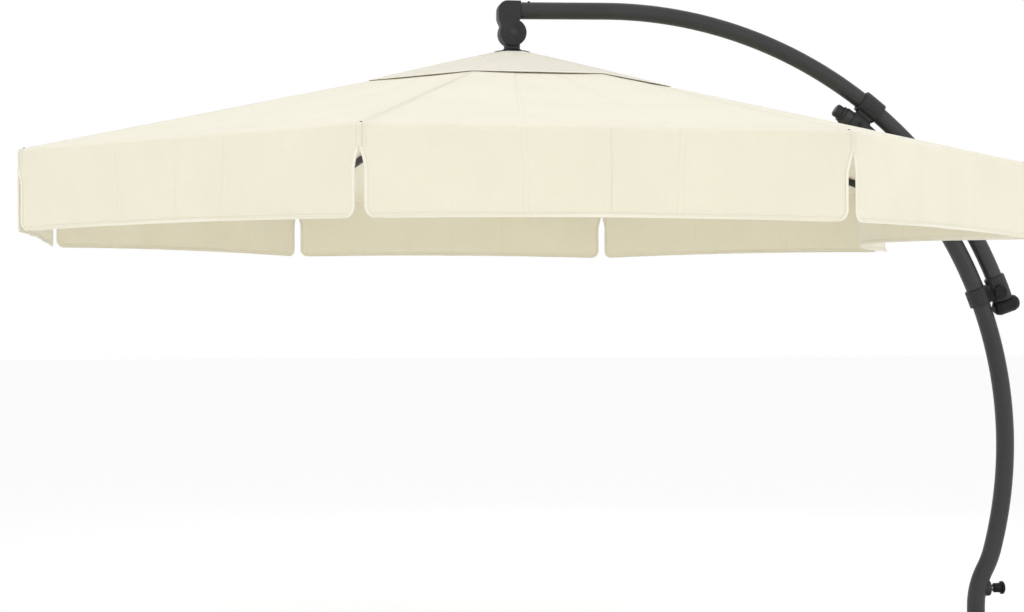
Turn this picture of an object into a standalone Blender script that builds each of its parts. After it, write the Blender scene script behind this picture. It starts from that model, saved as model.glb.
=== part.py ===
"""Cantilever parasol: a curved mast on a ballasted foot, a curved boom that slides over it,
and an eight-ribbed canopy that hangs from the boom's end and folds as the boom slides down.

Frame: metres, +Z up, origin on the ground at the mast's turning axis. The mast and boom lie in
the XZ plane, and the canopy is on the -X side.
"""
from math import acos, atan2, cos, hypot, pi, radians, sin, sqrt

import bmesh
import bpy
from mathutils import Matrix, Vector

# ---- driving dimensions ----
GAP = 0.0003                # between touching pieces
CANOPY_X = -1.841           # canopy axis
ARC_X, ARC_Z = -1.450, 1.060  # common centre of the mast's and the boom's arcs
MAST_ARC = 1.571            # radius of the mast's centreline
BOOM_ARC = 1.660            # radius of the boom's centreline
MAST_R, MAST_WALL = 0.0345, 0.003
BOOM_R, BOOM_WALL = 0.032, 0.0025
TUBE_SIDES = 16
ARC_STEP = 2.9              # degrees a facet on the long arcs

MAST_TOP_DEG = 54.7         # upper end of the mast on its arc
MAST_LOW_DEG = -15.0        # lower end of the concentric arc
MAST_BEND = 0.35            # tighter arc below it
FOOT_BEND = 0.30            # reverse bend into the upright part
MAST_BOTTOM = 0.034

UPPER_DEG = 52.3            # upper bracket, on the arcs
CARRIAGE_DEG = 21.7         # lower bracket, with the canopy open
BOOM_LOW_DEG = 20.6
BOOM_HIGH_DEG = 91.2
BOOM_RUN = 0.326            # straight end of the boom, towards the hub
SLIDE_PLAY = 0.001          # round play of a tube in its sliding bush
BUSH_WALL = 0.0028
BUSH_HALF = 0.034           # half a bush's length

KNUCKLE_Z = 2.6266          # hinge that lets the canopy hang plumb
KNUCKLE_R = 0.049
PLATE_Z = 2.553             # underside of the round plate on top of the cloth
PLATE_R = 0.0685
STEM_R = 0.022

RIBS = 8
FIRST_RIB_DEG = 22.5
HINGE_R = 0.075             # rib and strut hinges, from the canopy axis
HINGE_Z = 2.516
RIB_SLOPE = radians(13.45)
RIB_REACH = 1.838           # rib end, from the canopy axis
RIB_WIDE, RIB_HIGH, RIB_WALL = 0.014, 0.026, 0.0014
TIP_LONG = 0.014            # plastic end of a rib
STRUT_AT = 0.62             # hinge of a strut, along the rib
LUG_DROP = 0.021            # and below the rib's middle line
STRUT_LINE = hypot(STRUT_AT, LUG_DROP)
STRUT_SLOPE = RIB_SLOPE + atan2(LUG_DROP, STRUT_AT)
RUNNER_Z = HINGE_Z - 2 * STRUT_LINE * sin(STRUT_SLOPE)
STRUT_HIGH = 0.012
STRUT_WIDE = 0.010
SLOT_PLAY = 0.001

RIM_R = 1.875               # canopy corners
RIM_Z = 2.103
CAP_R = 0.60                # vent cap's corners
CAP_SLOPE = 0.250
COVER_IN_R = 0.20
COVER_SLOPE = 0.2392
CLOTH = 0.0015
VALANCE = 0.263
RECESS = 0.32               # how far the edge that faces the mast curves in
SLIT_HALF = 0.016

POST_R = 0.0300
SPINDLE_R = 0.0100
LOCK_Z = 0.501
PIN_R = 0.005

FOOT_LONG = 0.66            # one arm of the diagonal cross, from the middle
FOOT_WIDE, FOOT_THICK = 0.080, 0.008
SLAB, SLAB_THICK = 0.490, 0.055
SLAB_GAP = 0.012


# ---- helpers ----
def clear_scene():
    for obj in list(bpy.data.objects):
        bpy.data.objects.remove(obj, do_unlink=True)


def material(name, colour, roughness, metallic=0.0):
    mat = bpy.data.materials.new(name)
    mat.use_nodes = True
    shader = mat.node_tree.nodes["Principled BSDF"]
    shader.inputs["Base Color"].default_value = (*colour, 1.0)
    shader.inputs["Roughness"].default_value = roughness
    shader.inputs["Metallic"].default_value = metallic
    return mat


def add(name, bm, mat, origin=(0, 0, 0), sharp=40.0, guide=False):
    """Make an object of a bmesh that is in world metres, with its origin at a joint or centre."""
    bmesh.ops.recalc_face_normals(bm, faces=bm.faces[:])
    bmesh.ops.translate(bm, vec=-Vector(origin), verts=bm.verts[:])
    mesh = bpy.data.meshes.new(name)
    bm.to_mesh(mesh)
    bm.free()
    mesh.shade_smooth()
    mesh.set_sharp_from_angle(angle=radians(sharp))
    obj = bpy.data.objects.new(name, mesh)
    obj.location = origin
    bpy.context.collection.objects.link(obj)
    if mat:
        mesh.materials.append(mat)
    if guide:
        obj.hide_render = True
        obj.display_type = "WIRE"
    return obj


def boolean(obj, cutter, operation="DIFFERENCE"):
    mod = obj.modifiers.new(operation.lower(), "BOOLEAN")
    mod.operation = operation
    mod.solver = "EXACT"
    mod.object = cutter
    return mod


def arc_point(radius, degrees):
    """A point of the mast's plane, at an angle above +X from the arcs' common centre."""
    a = radians(degrees)
    return Vector((ARC_X + radius * cos(a), 0, ARC_Z + radius * sin(a)))


def along(start, direction, roll=0.0):
    """Matrix that takes local +Z to a direction, at a point, with local X in the XZ plane."""
    z = Vector(direction).normalized()
    x = Vector((0, 1, 0)).cross(z)
    if x.length < 1e-6:
        x = Vector((1, 0, 0))
    x.normalize()
    y = z.cross(x)
    basis = Matrix((x, y, z)).transposed().to_4x4()
    return Matrix.Translation(start) @ basis @ Matrix.Rotation(roll, 4, "Z")


def arc_frame(radius, degrees):
    """Matrix on an arc, its +Z along the arc, towards the canopy."""
    a = radians(degrees)
    return along(arc_point(radius, degrees), (-sin(a), 0, cos(a)))


def ring(bm, matrix, radius, sides):
    """A circle of edges."""
    verts = bmesh.ops.create_circle(bm, segments=sides, radius=radius, matrix=matrix)["verts"]
    return list({e for v in verts for e in v.link_edges})


def sweep(bm, loops, moves):
    """Draw one ring, or an outer and an inner ring, along runs and turns, and close both ends."""
    first = [list(loop) for loop in loops]
    lining = []
    for move in moves:
        turning = move[0] == "turn"
        steps = move[3] if turning else 1
        for _ in range(steps):
            drawn = []
            for index, loop in enumerate(loops):
                made = bmesh.ops.extrude_edge_only(bm, edges=loop)["geom"]
                if index == 1:
                    lining += [g for g in made if isinstance(g, bmesh.types.BMFace)]
                verts = [g for g in made if isinstance(g, bmesh.types.BMVert)]
                if turning:
                    spin = Matrix.Rotation(move[2] / steps, 3, "Y")
                    bmesh.ops.rotate(bm, cent=move[1], matrix=spin, verts=verts)
                else:
                    bmesh.ops.translate(bm, vec=move[1], verts=verts)
                moved = set(verts)
                edges = [g for g in made if isinstance(g, bmesh.types.BMEdge)]
                drawn.append([e for e in edges if moved.issuperset(e.verts)])
            loops = drawn
    bmesh.ops.reverse_faces(bm, faces=lining)
    for ends in (first, loops):
        if len(ends) == 2:
            bmesh.ops.bridge_loops(bm, edges=ends[0] + ends[1])
        else:
            bmesh.ops.edgenet_fill(bm, edges=ends[0])
    return bm


def arc_sweep(radius, low, high, radii, step=ARC_STEP, sides=TUBE_SIDES):
    """A tube or rod along an arc, from one angle to another."""
    bm = bmesh.new()
    start = arc_frame(radius, low)
    steps = max(1, round((high - low) / step))
    turn = ("turn", Vector((ARC_X, 0, ARC_Z)), -radians(high - low), steps)
    return sweep(bm, [ring(bm, start, r, sides) for r in radii], [turn])


def rod(start, end, radius, sides=24, inner=None, top_radius=None):
    """A round bar, cone or pipe between two points."""
    bm = bmesh.new()
    start, end = Vector(start), Vector(end)
    frame = along(start, end - start)
    if inner:
        loops = [ring(bm, frame, radius, sides), ring(bm, frame, inner, sides)]
        return sweep(bm, loops, [("run", end - start)])
    length = (end - start).length
    bmesh.ops.create_cone(
        bm, cap_ends=True, segments=sides, radius1=radius,
        radius2=radius if top_radius is None else top_radius, depth=length,
        matrix=frame @ Matrix.Translation((0, 0, length / 2)))
    return bm


def box(bm, centre, size, matrix=Matrix()):
    scale = Matrix.Diagonal((*size, 1))
    bmesh.ops.create_cube(bm, size=1, matrix=matrix @ Matrix.Translation(centre) @ scale)
    return bm


def lathe(points, centre, axis="Z", sides=32):
    """A turned solid: points are (radius, height) from one end of the axis to the other."""
    bm = bmesh.new()
    tilt = {"Z": Matrix(), "Y": Matrix.Rotation(-pi / 2, 4, "X"), "X": Matrix.Rotation(pi / 2, 4, "Y")}[axis]
    place = Matrix.Translation(centre) @ tilt
    loops = [ring(bm, place @ Matrix.Translation((0, 0, h)), r, sides) for r, h in points]
    for lower, upper in zip(loops, loops[1:]):
        bmesh.ops.bridge_loops(bm, edges=lower + upper)
    for end in (loops[0], loops[-1]):
        bmesh.ops.edgenet_fill(bm, edges=end)
    return bm


def soften(bm, width, segments=2, angle=35.0):
    """Round off the edges that are sharper than an angle."""
    edges = [e for e in bm.edges if len(e.link_faces) == 2 and e.calc_face_angle() > radians(angle)]
    bmesh.ops.bevel(bm, geom=edges, offset=width, segments=segments, profile=0.5,
                    affect="EDGES", material=-1, clamp_overlap=True)
    return bm


# ---- materials ----
def make_materials():
    return {
        "frame": material("anthracite_coat", (0.075, 0.077, 0.080), 0.42, 0.35),
        "bracket": material("dark_casting", (0.030, 0.030, 0.032), 0.55),
        "plastic": material("black_plastic", (0.014, 0.014, 0.015), 0.50),
        "metal": material("bright_steel", (0.60, 0.60, 0.61), 0.30, 1.0),
        "cloth": material("cream_cloth", (0.88, 0.85, 0.76), 0.90),
        "tip": material("cream_plastic", (0.80, 0.77, 0.68), 0.55),
        "foot": material("galvanised_steel", (0.10, 0.10, 0.105), 0.45, 0.6),
        "slab": material("concrete", (0.46, 0.45, 0.43), 0.92),
    }


# ---- foot ----
def build_foot(mats):
    bm = bmesh.new()
    box(bm, (0, 0, FOOT_THICK / 2), (2 * FOOT_LONG, FOOT_WIDE, FOOT_THICK), Matrix.Rotation(pi / 4, 4, "Z"))
    cross = add("foot_cross", bm, mats["foot"])
    other = box(bmesh.new(), (0, 0, FOOT_THICK / 2), (2 * FOOT_LONG, FOOT_WIDE, FOOT_THICK),
                Matrix.Rotation(-pi / 4, 4, "Z"))
    boolean(cross, add("guide_cross", other, None, guide=True), "UNION")

    low = FOOT_THICK + GAP
    flange = lathe([(0.085, low), (0.085, low + 0.008), (0.036, low + 0.012)], (0, 0, 0))
    boolean(add("post_flange", flange, mats["foot"]),
            add("guide_post", rod((0, 0, 0), (0, 0, 0.1), POST_R + GAP), None, guide=True))
    groove = 0.0065
    post = lathe([(POST_R, low), (POST_R, 0.385), (SPINDLE_R + 0.004, 0.405),
                  (SPINDLE_R, 0.41), (SPINDLE_R, LOCK_Z - groove), (0.006, LOCK_Z - groove + 0.001),
                  (0.006, LOCK_Z + groove - 0.001), (SPINDLE_R, LOCK_Z + groove),
                  (SPINDLE_R, LOCK_Z + 0.014), (0.007, LOCK_Z + 0.018)], (0, 0, 0), sides=24)
    add("foot_post", post, mats["foot"])
    thrust = rod((0, 0, low + 0.0125), (0, 0, MAST_BOTTOM - GAP), 0.040, inner=POST_R + 0.0012)
    add("thrust_ring", thrust, mats["plastic"])


def build_slabs(mats):
    """Four square ballast slabs, each on one arm of the cross, with the post's corner cut off."""
    half = SLAB / 2
    middle = half + SLAB_GAP / 2
    floor = FOOT_THICK + GAP
    for number, (sx, sy) in enumerate(((1, 1), (-1, 1), (-1, -1), (1, -1)), start=1):
        bm = box(bmesh.new(), (sx * middle, sy * middle, floor + SLAB_THICK / 2), (SLAB, SLAB, SLAB_THICK))
        inner = [e for e in bm.edges
                 if abs(e.verts[0].co.z - e.verts[1].co.z) > SLAB_THICK / 2 and hypot(*e.verts[0].co.xy) < half]
        bmesh.ops.bevel(bm, geom=inner, offset=0.115, segments=1, profile=0.5, affect="EDGES", material=-1)
        add(f"ballast_slab_{number}", soften(bm, 0.006, 1, 40), mats["slab"])


# ---- mast ----
def mast_moves():
    """The mast's centreline from its lower end: upright, reverse bend, tighter arc, main arc."""
    low = radians(MAST_LOW_DEG)
    bend_x = ARC_X + (MAST_ARC - MAST_BEND) * cos(low)
    bend_z = ARC_Z + (MAST_ARC - MAST_BEND) * sin(low)
    lean = acos((FOOT_BEND - bend_x) / (MAST_BEND + FOOT_BEND))
    foot_z = bend_z - (MAST_BEND + FOOT_BEND) * sin(lean)
    span = radians(MAST_TOP_DEG) - low
    return [
        ("run", Vector((0, 0, foot_z - MAST_BOTTOM))),
        ("turn", Vector((FOOT_BEND, 0, foot_z)), lean, 7),
        ("turn", Vector((bend_x, 0, bend_z)), -(lean + low), 4),
        ("turn", Vector((ARC_X, 0, ARC_Z)), -span, round(MAST_TOP_DEG / ARC_STEP) + 5),
    ]


def mast_solid(radii):
    bm = bmesh.new()
    start = along((0, 0, MAST_BOTTOM), (0, 0, 1))
    return sweep(bm, [ring(bm, start, r, TUBE_SIDES) for r in radii], mast_moves())


def build_mast(mats):
    tube = add("mast_tube", mast_solid([MAST_R, MAST_R - MAST_WALL]), mats["frame"])
    hole = rod((0, 0, LOCK_Z), (0.08, 0, LOCK_Z), PIN_R + GAP, 12)
    boolean(tube, add("guide_pin_hole", hole, None, guide=True))

    cap = arc_sweep(MAST_ARC, MAST_TOP_DEG + 0.01, MAST_TOP_DEG + 1.5, [0.0255], 0.5)
    spigot = arc_sweep(MAST_ARC, MAST_TOP_DEG - 1.2, MAST_TOP_DEG + 0.5, [MAST_R - MAST_WALL - 0.0006], 1.0)
    top = add("mast_end_cap", soften(cap, 0.008, 3), mats["plastic"])
    boolean(top, add("guide_cap_spigot", spigot, None, guide=True), "UNION")

    for name, low in (("pivot_bush_lower", 0.060), ("pivot_bush_upper", 0.340)):
        bush = rod((0, 0, low), (0, 0, low + 0.03), MAST_R - MAST_WALL - 0.0007, TUBE_SIDES, POST_R + 0.0006)
        add(name, bush, mats["plastic"])

    boss = rod((0.02, 0, LOCK_Z), (0.055, 0, LOCK_Z), 0.031, 24)
    boss = add("lock_boss", soften(boss, 0.004, 2), mats["bracket"])
    boolean(boss, add("guide_boss_saddle", mast_solid([MAST_R + GAP]), None, guide=True))
    boolean(boss, bpy.data.objects["guide_pin_hole"])


def build_lock(mats):
    pin = rod((0.0075, 0, LOCK_Z), (0.082, 0, LOCK_Z), PIN_R, 12)
    add("lock_pin", pin, mats["metal"], (0.0075, 0, LOCK_Z))
    knob = lathe([(0.0150, 0.0710), (0.0185, 0.0740), (0.0185, 0.1000), (0.0255, 0.1030),
                  (0.0255, 0.1100), (0.0200, 0.1140)], (0, 0, LOCK_Z), "X", 24)
    knob = add("lock_knob", knob, mats["plastic"], (0.0710, 0, LOCK_Z))
    socket = rod((0.06, 0, LOCK_Z), (0.082 + GAP, 0, LOCK_Z), PIN_R + GAP, 12)
    boolean(knob, add("guide_knob_socket", socket, None, guide=True))


def build_upper_bracket(mats):
    """Holds the boom's sliding bush above the mast's upper end."""
    bush_r = BOOM_R + SLIDE_PLAY + BUSH_WALL
    half = 1.55
    collar = arc_sweep(BOOM_ARC, UPPER_DEG - half, UPPER_DEG + half, [bush_r + 0.008], 0.8)
    body = add("upper_bracket", soften(collar,
                                       0.004, 2), mats["bracket"])
    clamp = soften(arc_sweep(MAST_ARC, UPPER_DEG - 1.3, UPPER_DEG + 1.3, [MAST_R + 0.009], 0.9), 0.003, 1)
    boolean(body, add("guide_upper_clamp", clamp, None, guide=True), "UNION")
    web = box(bmesh.new(), (0, 0, 0), (0.075, 0.040, 0.062), arc_frame((MAST_ARC + BOOM_ARC) / 2, UPPER_DEG))
    boolean(body, add("guide_upper_web", web, None, guide=True), "UNION")
    bore = arc_sweep(BOOM_ARC, UPPER_DEG - 4, UPPER_DEG + 4, [bush_r + GAP], 1.0)
    boolean(body, add("guide_upper_bore", bore, None, guide=True))
    seat = arc_sweep(MAST_ARC, UPPER_DEG - 5, UPPER_DEG + 5, [MAST_R + 0.0006], 1.0)
    boolean(body, add("guide_upper_seat", seat, None, guide=True))
    spread = BUSH_HALF / BOOM_ARC * 180 / pi
    bush = arc_sweep(BOOM_ARC, UPPER_DEG - spread, UPPER_DEG + spread, [bush_r, BOOM_R + SLIDE_PLAY], 0.8)
    add("upper_bush", bush, mats["plastic"])
    head = arc_frame(MAST_ARC + 0.004, UPPER_DEG) @ Vector((0, -MAST_R - 0.0096, 0))
    bolt = rod(head, head - Vector((0, 0.006, 0)), 0.008, 6, top_radius=0.0075)
    add("upper_clamp_bolt", bolt, mats["metal"])


# ---- boom ----
def boom_end():
    """The boom's hub end, and the direction in which its straight end runs."""
    top = radians(BOOM_HIGH_DEG)
    direction = Vector((-sin(top), 0, cos(top)))
    return arc_point(BOOM_ARC, BOOM_HIGH_DEG) + direction * BOOM_RUN, direction


def build_boom(mats):
    end, direction = boom_end()
    bm = bmesh.new()
    start = arc_frame(BOOM_ARC, BOOM_LOW_DEG)
    loops = [ring(bm, start, r, TUBE_SIDES) for r in (BOOM_R, BOOM_R - BOOM_WALL)]
    span = BOOM_HIGH_DEG - BOOM_LOW_DEG
    moves = [("turn", Vector((ARC_X, 0, ARC_Z)), -radians(span), round(span / ARC_STEP)),
             ("run", direction * BOOM_RUN)]
    add("boom_tube", sweep(bm, loops, moves), mats["frame"], (ARC_X, 0, ARC_Z))
    screw = end - direction * 0.032 + Vector((0, -0.0106, BOOM_R - 0.0011))
    add("boom_screw", rod(screw, screw + Vector((0, -0.0011, 0.0026)), 0.0042, 12), mats["metal"])


def build_carriage(mats):
    """The lower bracket: clamped to the boom's lower end, sliding on the mast."""
    centre = Vector((ARC_X, 0, ARC_Z))
    bush_r = MAST_R + SLIDE_PLAY + BUSH_WALL
    half = BUSH_HALF / MAST_ARC * 180 / pi
    ring_body = arc_sweep(MAST_ARC, CARRIAGE_DEG - half, CARRIAGE_DEG + half, [bush_r + 0.005], 0.9)
    body = add("carriage_bracket", soften(ring_body, 0.003, 2), mats["bracket"], centre)
    socket = arc_sweep(BOOM_ARC, BOOM_LOW_DEG - 0.55, BOOM_LOW_DEG + 2.9, [BOOM_R + 0.0085], 0.8)
    socket = soften(socket, 0.006, 2)
    boolean(body, add("guide_boom_socket", socket, None, guide=True), "UNION")
    between = arc_frame((MAST_ARC + BOOM_ARC) / 2, CARRIAGE_DEG)
    web = box(bmesh.new(), (0, 0, 0), (0.055, 0.036, 0.058), between)
    boolean(body, add("guide_carriage_web", web, None, guide=True), "UNION")
    bore = arc_sweep(MAST_ARC, CARRIAGE_DEG - 3, CARRIAGE_DEG + 3, [bush_r + GAP], 1.0)
    boolean(body, add("guide_carriage_bore", bore, None, guide=True))
    seat = arc_sweep(BOOM_ARC, BOOM_LOW_DEG - 0.02, BOOM_LOW_DEG + 6, [BOOM_R + 0.0006], 1.0)
    boolean(body, add("guide_carriage_seat", seat, None, guide=True))
    bush = arc_sweep(MAST_ARC, CARRIAGE_DEG - half, CARRIAGE_DEG + half, [bush_r, MAST_R + SLIDE_PLAY], 0.9)
    add("carriage_bush", bush, mats["plastic"], centre)

    axle = arc_frame(BOOM_ARC - 0.014, CARRIAGE_DEG - 0.3)
    seat_y = -(BOOM_R + 0.0092)
    hub = axle @ Vector((0, seat_y, 0))
    disc = lathe([(0.0265, 0), (0.0265, 0.010), (0.0235, 0.014)], (0, 0, 0), "Y", 24)
    bmesh.ops.scale(disc, vec=(1, -1, 1), verts=disc.verts[:])
    bmesh.ops.translate(disc, vec=hub, verts=disc.verts[:])
    add("release_disc", disc, mats["plastic"], hub)

    handle = arc_frame(BOOM_ARC, CARRIAGE_DEG - 2.45)
    grip = lathe([(0.016, -0.046), (0.0265, -0.038), (0.0325, -0.022), (0.0325, 0.036), (0.0265, 0.052),
                  (0.016, 0.060)], (0, 0, 0), "X", 20)
    bmesh.ops.transform(grip, matrix=handle, verts=grip.verts[:])
    grip = add("grip", grip, mats["plastic"], centre)
    trim = arc_sweep(BOOM_ARC, BOOM_LOW_DEG - 0.55, BOOM_LOW_DEG + 2.9, [BOOM_R + 0.0088], 0.8)
    trim = soften(trim, 0.006, 2)
    low_end = Matrix.Translation(-arc_point(BOOM_ARC, BOOM_LOW_DEG))
    bmesh.ops.scale(trim, vec=(1.002, 1.002, 1.002), space=low_end,
                    verts=trim.verts[:])
    boolean(grip, add("guide_grip_trim", trim, None, guide=True))
    trim = arc_sweep(MAST_ARC, CARRIAGE_DEG - 9, CARRIAGE_DEG + 5, [bush_r + 0.0056], 1.0)
    boolean(grip, add("guide_grip_mast", trim, None, guide=True))


# ---- hub ----
def build_elbow(mats):
    """Turns on the boom's end: a spigot inside the boom, a rounded corner, and two cheeks."""
    end, direction = boom_end()
    bm = bmesh.new()
    start = end + direction * GAP
    corner = Vector((start.x, 0, start.z - 0.0375))
    sweep(bm, [ring(bm, along(start, direction), 0.0345, TUBE_SIDES)],
          [("run", direction * 0.010), ("turn", corner + direction * 0.010, -radians(88), 6),
           ("run", Vector((0.002, 0, -0.010)))])
    body = add("elbow_cap", soften(bm, 0.004, 2, 50), mats["bracket"], end)
    spigot = rod(start - direction * 0.05, start + direction * 0.004, BOOM_R - BOOM_WALL - 0.0010, TUBE_SIDES)
    boolean(body, add("guide_elbow_spigot", spigot, None, guide=True), "UNION")
    knuckle = Vector((CANOPY_X, 0, KNUCKLE_Z))
    reach = Vector((0, 0.034, 0))
    cheeks = soften(rod(knuckle - reach, knuckle + reach, KNUCKLE_R, 32), 0.005, 2)
    boolean(body, add("guide_elbow_cheeks", cheeks, None, guide=True), "UNION")
    gap = rod(knuckle - Vector((0, 0.0186, 0)), knuckle + Vector((0, 0.0186, 0)), KNUCKLE_R + 0.004, 32)
    boolean(body, add("guide_elbow_gap", gap, None, guide=True))
    bore = rod(knuckle - Vector((0, 0.05, 0)), knuckle + Vector((0, 0.05, 0)), 0.0065, 16)
    boolean(body, add("guide_elbow_bore", bore, None, guide=True))


def build_hub(mats):
    knuckle = Vector((CANOPY_X, 0, KNUCKLE_Z))
    tongue = rod(knuckle - Vector((0, 0.018, 0)), knuckle + Vector((0, 0.018, 0)), KNUCKLE_R - 0.004, 32)
    tongue = add("hub_knuckle", soften(tongue, 0.002, 1), mats["bracket"], knuckle)
    drop = 0.0545
    low = PLATE_Z + 0.0095 + GAP
    neck = lathe([(0.030, low), (0.030, KNUCKLE_Z - drop), (0.017, KNUCKLE_Z - drop + 0.004),
                  (0.017, KNUCKLE_Z - 0.02)], (CANOPY_X, 0, 0), sides=24)
    boolean(tongue, add("guide_neck", neck, None, guide=True), "UNION")
    bore = rod(knuckle - Vector((0, 0.05, 0)), knuckle + Vector((0, 0.05, 0)), 0.0065, 16)
    boolean(tongue, add("guide_knuckle_bore", bore, None, guide=True))

    axle = rod(knuckle - Vector((0, 0.0365, 0)), knuckle + Vector((0, 0.0365, 0)), 0.006, 16)
    add("knuckle_bolt", axle, mats["metal"], knuckle)

    plate = lathe([(PLATE_R, 0), (PLATE_R - 0.001, 0.003), (0.045, 0.0075), (0.032, 0.0095)],
                  (CANOPY_X, 0, PLATE_Z))
    add("top_plate", plate, mats["plastic"], (CANOPY_X, 0, PLATE_Z))
    stem_low = HINGE_Z + 0.022 + GAP
    stem = rod((CANOPY_X, 0, stem_low), (CANOPY_X, 0, PLATE_Z - GAP), STEM_R, 24)
    add("hub_stem", stem, mats["frame"], (CANOPY_X, 0, stem_low))
    crown = slotted_disc(0.052, 0.090, RIB_WIDE + 2 * SLOT_PLAY, HINGE_Z - 0.018, HINGE_Z + 0.022)
    add("rib_crown", crown, mats["plastic"], (CANOPY_X, 0, HINGE_Z))


def slotted_disc(core, rim, slot, low, high):
    """A disc on the canopy axis with a radial slot at each rib, open outwards and through its height."""
    bm = bmesh.new()
    outline = []
    for k in range(RIBS):
        here = radians(FIRST_RIB_DEG + 360 / RIBS * k)
        there = here + 2 * pi / RIBS
        side = Vector((-sin(here), cos(here), 0)) * slot / 2
        far_side = Vector((-sin(there), cos(there), 0)) * slot / 2
        out = Vector((cos(here), sin(here), 0))
        far_out = Vector((cos(there), sin(there), 0))
        outline.append(out * core + side)
        edge = atan2(slot / 2, rim)
        for step in (0, 0.5, 1):
            a = here + edge + (there - here - 2 * edge) * step
            outline.append(Vector((cos(a), sin(a), 0)) * rim)
        outline.append(far_out * core - far_side)
    place = Vector((CANOPY_X, 0, low))
    face = bm.faces.new([bm.verts.new(p + place) for p in outline])
    made = bmesh.ops.extrude_face_region(bm, geom=[face])["geom"]
    lifted = [g for g in made if isinstance(g, bmesh.types.BMVert)]
    bmesh.ops.translate(bm, vec=(0, 0, high - low), verts=lifted)
    return bm


def build_runner(mats):
    """The lower hub: it carries the struts, and drops away from the crown as the canopy folds."""
    z = RUNNER_Z
    disc = slotted_disc(0.050, 0.086, STRUT_WIDE + 2 * SLOT_PLAY, z - 0.012, z + 0.014)
    add("strut_runner", disc, mats["plastic"], (CANOPY_X, 0, z))
    high = z + 0.014 + GAP
    guide = lathe([(0.0185, high), (0.0185, high + 0.055), (0.008, high + 0.085)], (CANOPY_X, 0, 0), sides=24)
    add("runner_spigot", guide, mats["plastic"], (CANOPY_X, 0, high))
    low = z - 0.012 - GAP
    cap = lathe([(0.012, low - 0.022), (0.026, low - 0.014), (0.030, low)], (CANOPY_X, 0, 0), sides=24)
    add("runner_cap", cap, mats["plastic"], (CANOPY_X, 0, low))


# ---- ribs and struts ----
def box_tube(length_from, length_to, wide, high, wall, bm=None):
    """A rectangular tube along +X, open at both ends."""
    bm = bm or bmesh.new()
    start = Matrix.Translation((length_from, 0, 0)) @ Matrix.Rotation(pi / 2, 4, "Y")
    loops = []
    for inset in (0, wall):
        half_high, half_wide = high / 2 - inset, wide / 2 - inset
        scale = Matrix.Diagonal((half_high, half_wide, 1, 1))
        corner = Matrix.Rotation(pi / 4, 4, "Z")
        loops.append(ring(bm, start @ scale @ corner, sqrt(2), 4))
    return sweep(bm, loops, [("run", Vector((length_to - length_from, 0, 0)))])


def spoke(azimuth, hinge_z, slope):
    """Matrix of a rib or strut: +X outwards and sloping, at its hinge."""
    out = Vector((cos(azimuth), sin(azimuth), 0))
    hinge = Vector((CANOPY_X, 0, hinge_z)) + out * HINGE_R
    return Matrix.Translation(hinge) @ Matrix.Rotation(azimuth, 4, "Z") @ Matrix.Rotation(slope, 4, "Y")


def build_ribs(mats):
    length = (RIB_REACH - HINGE_R) / cos(RIB_SLOPE)
    rib = box_tube(-0.012, length, RIB_WIDE, RIB_HIGH, RIB_WALL)
    strut = box_tube(0.006, STRUT_LINE + 0.004, STRUT_WIDE, STRUT_HIGH, 0.0012)
    lug = bmesh.new()
    for side in (1, -1):
        cheek = (STRUT_AT, side * (STRUT_WIDE / 2 + 0.0014), -LUG_DROP + 0.001)
        box(lug, cheek, (0.026, 0.0016, 0.022))
    lug = add("guide_lug", lug, None, guide=True)
    tip = soften(box(bmesh.new(), (length + GAP + TIP_LONG / 2, 0, 0), (TIP_LONG, RIB_WIDE, RIB_HIGH)), 0.003)
    meshes = []
    for name, bm in (("rib", rib), ("strut", strut), ("tip", tip)):
        bmesh.ops.recalc_face_normals(bm, faces=bm.faces[:])
        mesh = bpy.data.meshes.new(name)
        bm.to_mesh(mesh)
        bm.free()
        mesh.materials.append(mats["tip"] if name == "tip" else mats["frame"])
        meshes.append(mesh)
    for number in range(1, RIBS + 1):
        azimuth = radians(FIRST_RIB_DEG + 360 / RIBS * (number - 1))
        hinge = spoke(azimuth, HINGE_Z, RIB_SLOPE)
        for name, mesh, matrix in ((f"rib_{number}", meshes[0], hinge),
                                   (f"strut_{number}", meshes[1], spoke(azimuth, RUNNER_Z, -STRUT_SLOPE)),
                                   (f"rib_tip_{number}", meshes[2], hinge)):
            obj = bpy.data.objects.new(name, mesh)
            bpy.context.collection.objects.link(obj)
            obj.matrix_world = matrix
            if mesh is meshes[0]:
                part = bpy.data.objects.new(f"guide_{name}", lug.data)
                bpy.context.collection.objects.link(part)
                part.hide_render = True
                part.display_type = "WIRE"
                part.matrix_world = matrix
                boolean(obj, part, "UNION")


# ---- cloth ----
def sector_point(k, share, across, inner, outer, slope, recess=0.0):
    """A point of one sector's top: share runs outwards, across runs from -1 to 1 between two corners."""
    azimuth = radians(FIRST_RIB_DEG + 360 / RIBS * (k + 0.5))
    half = pi / RIBS
    radius = inner + (outer - inner) * share
    depth = radius * cos(half) - recess * share * (1 - across ** 2)
    side = radius * sin(half) * across
    z = RIM_Z + (RIM_R * cos(half) - depth) * slope / cos(half)
    out = Vector((cos(azimuth), sin(azimuth), 0))
    left = Vector((-sin(azimuth), cos(azimuth), 0))
    return Vector((CANOPY_X, 0, z)) + out * depth + left * side


def sheet_grid(bm, points):
    """Faces between rows of points, with new vertices; the doubles are merged afterwards."""
    rows = [[bm.verts.new(p) for p in row] for row in points]
    for lower, upper in zip(rows, rows[1:]):
        for i in range(len(lower) - 1):
            bm.faces.new((lower[i], lower[i + 1], upper[i + 1], upper[i]))


def add_sheet(name, bm, mat):
    bmesh.ops.remove_doubles(bm, verts=bm.verts[:], dist=0.0001)
    obj = add(name, bm, mat, (CANOPY_X, 0, 0), sharp=30)
    skin = obj.modifiers.new("thickness", "SOLIDIFY")
    skin.thickness = CLOTH
    skin.offset = 0
    return obj


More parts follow.
